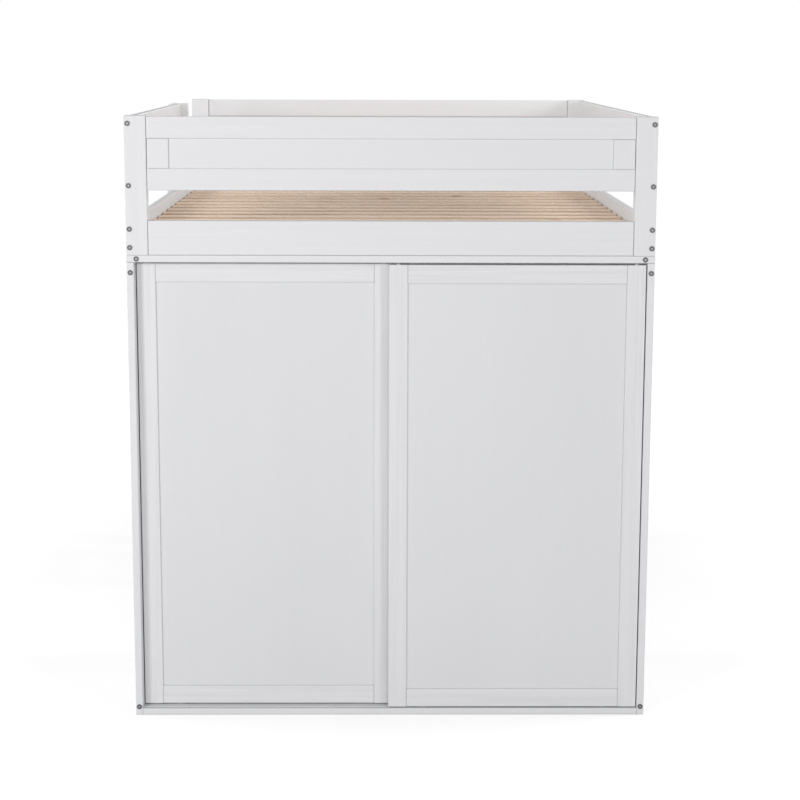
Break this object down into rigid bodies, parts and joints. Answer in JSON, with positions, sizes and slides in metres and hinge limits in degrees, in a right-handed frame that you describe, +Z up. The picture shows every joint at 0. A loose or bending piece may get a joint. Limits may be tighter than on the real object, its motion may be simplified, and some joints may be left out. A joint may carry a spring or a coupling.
{
  "type": "loft bed",
  "caption": "White wooden loft bed with panelled guards over a slatted base, a side ladder, and a wardrobe with two sliding panel doors filling one end.",
  "frame": {"origin": "on the floor, in the middle of the outline, so half the ladder's depth left of the bedstead's own middle", "axes": "+Z up, +Y along the bed away from the wardrobe doors, +X to the right when facing the doors; the ladder is on the -X side"},
  "size_m": [1.494, 2.005, 1.705],
  "materials": {
    "painted_wood": "satin white paint",
    "painted_panel": "satin white paint",
    "pine": "bare planed pine",
    "steel": "zinc plated",
    "chrome": "polished",
    "plastic": "matte"
  },
  "bodies": {
    "bedstead": {"near_posts": "painted_wood", "far_posts": "painted_wood", "stand_pins": "steel", "near_guard_rails": "painted_wood", "near_guard_stiles": "painted_wood", "near_guard_panel": "painted_panel", "far_guard_rails": "painted_wood", "far_guard_stiles": "painted_wood", "far_guard_panel": "painted_panel", "left_guard_rails": "painted_wood", "left_guard_stiles": "painted_wood", "left_guard_panel": "painted_panel", "right_guard_rails": "painted_wood", "right_guard_stiles": "painted_wood", "right_guard_panel": "painted_panel", "guard_cleat": "painted_wood", "near_bed_rail": "painted_wood", "far_bed_rail": "painted_wood", "left_bed_rail": "painted_wood", "right_bed_rail": "painted_wood", "slat_ledgers": "pine", "centre_beam": "pine", "slats": "pine", "ladder_stiles": "painted_wood", "ladder_treads": "painted_wood", "near_legs": "painted_wood", "far_legs": "painted_wood", "near_header": "painted_wood", "far_header": "painted_wood", "long_rails": "painted_wood", "side_aprons": "painted_wood", "far_stretcher": "painted_wood", "sill": "painted_wood", "wardrobe_left_side": "painted_wood", "wardrobe_right_side": "painted_wood", "wardrobe_back": "painted_panel", "wardrobe_floor": "painted_wood", "wardrobe_shelf": "painted_wood", "hanging_rail": "chrome", "rail_brackets": "chrome", "upper_tracks": "plastic", "lower_tracks": "plastic", "bolts": "steel", "barrel_nuts": "steel", "screws": "steel"},
    "left_door": {"left_door_stiles": "painted_wood", "left_door_rails": "painted_wood", "left_door_panel": "painted_panel", "left_door_guides": "plastic", "left_door_housings": "plastic"},
    "right_door": {"right_door_stiles": "painted_wood", "right_door_rails": "painted_wood", "right_door_panel": "painted_panel", "right_door_guides": "plastic", "right_door_housings": "plastic"},
    "left_roller_1": {"left_door_roller_1": "plastic"},
    "left_roller_2": {"left_door_roller_2": "plastic"},
    "right_roller_1": {"right_door_roller_1": "plastic"},
    "right_roller_2": {"right_door_roller_2": "plastic"}
  },
  "joints": [
    {"name": "left_door_slide", "type": "slide", "parent": "bedstead", "child": "left_door", "axis": [1, 0, 0], "range_m": [0, 0.7]},
    {"name": "right_door_slide", "type": "slide", "parent": "bedstead", "child": "right_door", "axis": [1, 0, 0], "range_m": [-0.7, 0]},
    {"name": "left_roller_1_turn", "type": "hinge", "parent": "left_door", "child": "left_roller_1", "pos_m": [-0.591, -0.95, 0.0243], "axis": [0, 1, 0], "range_deg": [0, 4012]},
    {"name": "left_roller_2_turn", "type": "hinge", "parent": "left_door", "child": "left_roller_2", "pos_m": [-0.077, -0.95, 0.0243], "axis": [0, 1, 0], "range_deg": [0, 4012]},
    {"name": "right_roller_1_turn", "type": "hinge", "parent": "right_door", "child": "right_roller_1", "pos_m": [0.111, -0.982, 0.0243], "axis": [0, 1, 0], "range_deg": [-4012, 0]},
    {"name": "right_roller_2_turn", "type": "hinge", "parent": "right_door", "child": "right_roller_2", "pos_m": [0.625, -0.982, 0.0243], "axis": [0, 1, 0], "range_deg": [-4012, 0]}
  ],
  "couplings": [
    {"joint": "left_roller_1_turn", "follows": "left_door_slide", "rad_per_m": 100},
    {"joint": "left_roller_2_turn", "follows": "left_door_slide", "rad_per_m": 100},
    {"joint": "right_roller_1_turn", "follows": "right_door_slide", "rad_per_m": 100},
    {"joint": "right_roller_2_turn", "follows": "right_door_slide", "rad_per_m": 100}
  ]
}
